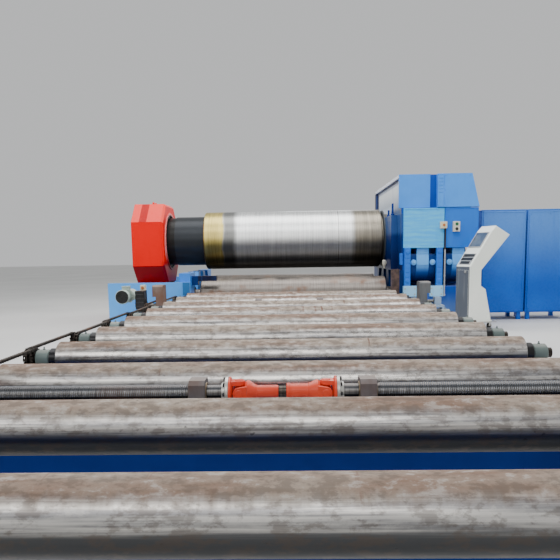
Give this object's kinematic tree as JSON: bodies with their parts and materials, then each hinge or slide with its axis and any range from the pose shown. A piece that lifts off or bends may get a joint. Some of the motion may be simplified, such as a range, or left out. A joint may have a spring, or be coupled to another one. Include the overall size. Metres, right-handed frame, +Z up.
{
  "type": "four-roll plate rolling machine with roller infeed table",
  "caption": "Plate rolling machine with a tilting drop-end yoke, a chain-driven roller table with centring screws, cabinets and a wheeled control console.",
  "frame": {"origin": "on the floor, on the middle line of the roller table, straight below the axis of the upper roll", "axes": "+X along the roll axes towards the drive side and cabinets, +Y the feed direction from the table through the machine, +Z up"},
  "size_m": [7.419, 10.8, 2.3],
  "materials": {
    "bright_steel": "turned",
    "bare_steel": "worn",
    "yoke_red": "gloss",
    "bronze": "satin",
    "light_blue": "gloss",
    "dark_blue": "gloss",
    "cabinet_blue": "satin",
    "console_cream": "satin",
    "console_panel": "satin",
    "dark_metal": "oily",
    "dark_steel": "rusty",
    "cardan_red": "satin",
    "grey_green": "satin",
    "button_yellow": "satin",
    "roller_steel": "dusty"
  },
  "bodies": {
    "machine": {"centring_gearmotors": "grey_green", "clevis_straps": "light_blue", "console_body": "console_cream", "console_desk": "console_panel", "console_trolley": "dark_metal", "drive_chain": "dark_metal", "drive_side_base": "light_blue", "drop_end_frame": "light_blue", "electric_cabinets": "cabinet_blue", "fixed_housing": "light_blue", "housing_covers": "light_blue", "lower_roll": "bare_steel", "machine_bed": "dark_blue", "push_button_boxes": "button_yellow", "rear_side_roll": "bare_steel", "roll_bearing_blocks": "dark_steel", "roll_guides": "light_blue", "roller_bearings": "grey_green", "screw_bearing_blocks": "light_blue", "screw_pedestals": "light_blue", "swing_castings": "light_blue", "table_cross_beams": "dark_blue", "table_side_beams": "dark_blue"},
    "yoke": {"tilting_yoke": "yoke_red", "yoke_bush": "bronze"},
    "upper_roll": {"upper_roll": "bright_steel"},
    "front_roll_carriers": {"front_roll_carriers": "dark_steel"},
    "front_side_roll": {"front_side_roll": "bare_steel"},
    "near_screw_line": {"near_screws": "dark_metal", "cardan_shaft": "cardan_red"},
    "far_screw_line": {"far_screws": "dark_metal"},
    "near_pusher_left": {"near_pusher_left": "dark_steel"},
    "near_pusher_right": {"near_pusher_right": "dark_steel"},
    "far_pusher_left": {"far_pusher_left": "dark_steel"},
    "far_pusher_right": {"far_pusher_right": "dark_steel"},
    "roller_1": {"table_roller_1": "roller_steel"},
    "roller_2": {"table_roller_2": "roller_steel"},
    "roller_3": {"table_roller_3": "roller_steel"},
    "roller_4": {"table_roller_4": "roller_steel"},
    "roller_5": {"table_roller_5": "roller_steel"},
    "roller_6": {"table_roller_6": "roller_steel"},
    "roller_7": {"table_roller_7": "roller_steel"},
    "roller_8": {"table_roller_8": "roller_steel"},
    "roller_9": {"table_roller_9": "roller_steel"},
    "roller_10": {"table_roller_10": "roller_steel"}
  },
  "joints": [
    {"name": "upper_roll_spin", "type": "hinge", "parent": "machine", "child": "upper_roll", "pos_m": [0, 0, 1.375], "axis": [1, 0, 0], "continuous": true},
    {"name": "yoke_tilt", "type": "hinge", "parent": "machine", "child": "yoke", "pos_m": [-2.11, 0, 0.45], "axis": [0, -1, 0], "range_deg": [0, 60]},
    {"name": "front_roll_lift", "type": "slide", "parent": "machine", "child": "front_roll_carriers", "axis": [0, 0.4226, 0.9063], "range_m": [-0.15, 0.18]},
    {"name": "front_side_roll_spin", "type": "hinge", "parent": "front_roll_carriers", "child": "front_side_roll", "pos_m": [0, -0.72, 0.465], "axis": [1, 0, 0], "continuous": true},
    {"name": "roller_1_spin", "type": "hinge", "parent": "machine", "child": "roller_1", "pos_m": [0, -1.49, 0.442], "axis": [1, 0, 0], "continuous": true},
    {"name": "roller_2_spin", "type": "hinge", "parent": "machine", "child": "roller_2", "pos_m": [0, -2.34, 0.442], "axis": [1, 0, 0], "continuous": true},
    {"name": "roller_3_spin", "type": "hinge", "parent": "machine", "child": "roller_3", "pos_m": [0, -3.19, 0.442], "axis": [1, 0, 0], "continuous": true},
    {"name": "roller_4_spin", "type": "hinge", "parent": "machine", "child": "roller_4", "pos_m": [0, -4.04, 0.442], "axis": [1, 0, 0], "continuous": true},
    {"name": "roller_5_spin", "type": "hinge", "parent": "machine", "child": "roller_5", "pos_m": [0, -4.89, 0.442], "axis": [1, 0, 0], "continuous": true},
    {"name": "roller_6_spin", "type": "hinge", "parent": "machine", "child": "roller_6", "pos_m": [0, -5.74, 0.442], "axis": [1, 0, 0], "continuous": true},
    {"name": "roller_7_spin", "type": "hinge", "parent": "machine", "child": "roller_7", "pos_m": [0, -6.59, 0.442], "axis": [1, 0, 0], "continuous": true},
    {"name": "roller_8_spin", "type": "hinge", "parent": "machine", "child": "roller_8", "pos_m": [0, -7.44, 0.442], "axis": [1, 0, 0], "continuous": true},
    {"name": "roller_9_spin", "type": "hinge", "parent": "machine", "child": "roller_9", "pos_m": [0, -8.29, 0.442], "axis": [1, 0, 0], "continuous": true},
    {"name": "roller_10_spin", "type": "hinge", "parent": "machine", "child": "roller_10", "pos_m": [0, -9.14, 0.442], "axis": [1, 0, 0], "continuous": true},
    {"name": "near_screw_spin", "type": "hinge", "parent": "machine", "child": "near_screw_line", "pos_m": [0, -7.865, 0.487], "axis": [1, 0, 0], "range_deg": [0, 10440]},
    {"name": "near_left_pusher_slide", "type": "slide", "parent": "machine", "child": "near_pusher_left", "axis": [1, 0, 0], "range_m": [0, 1.162]},
    {"name": "near_right_pusher_slide", "type": "slide", "parent": "machine", "child": "near_pusher_right", "axis": [-1, 0, 0], "range_m": [0, 1.162]},
    {"name": "far_screw_spin", "type": "hinge", "parent": "machine", "child": "far_screw_line", "pos_m": [0, -2.765, 0.487], "axis": [1, 0, 0], "range_deg": [0, 10440]},
    {"name": "far_left_pusher_slide", "type": "slide", "parent": "machine", "child": "far_pusher_left", "axis": [1, 0, 0], "range_m": [0, 1.162]},
    {"name": "far_right_pusher_slide", "type": "slide", "parent": "machine", "child": "far_pusher_right", "axis": [-1, 0, 0], "range_m": [0, 1.162]}
  ],
  "couplings": [
    {"joint": "roller_2_spin", "follows": "roller_1_spin", "ratio": 1},
    {"joint": "roller_3_spin", "follows": "roller_1_spin", "ratio": 1},
    {"joint": "roller_4_spin", "follows": "roller_1_spin", "ratio": 1},
    {"joint": "roller_5_spin", "follows": "roller_1_spin", "ratio": 1},
    {"joint": "roller_6_spin", "follows": "roller_1_spin", "ratio": 1},
    {"joint": "roller_7_spin", "follows": "roller_1_spin", "ratio": 1},
    {"joint": "roller_8_spin", "follows": "roller_1_spin", "ratio": 1},
    {"joint": "roller_9_spin", "follows": "roller_1_spin", "ratio": 1},
    {"joint": "roller_10_spin", "follows": "roller_1_spin", "ratio": 1},
    {"joint": "near_left_pusher_slide", "follows": "near_screw_spin", "m_per_rad": 0.0063662},
    {"joint": "near_right_pusher_slide", "follows": "near_screw_spin", "m_per_rad": 0.0063662},
    {"joint": "far_left_pusher_slide", "follows": "far_screw_spin", "m_per_rad": 0.0063662},
    {"joint": "far_right_pusher_slide", "follows": "far_screw_spin", "m_per_rad": 0.0063662}
  ]
}
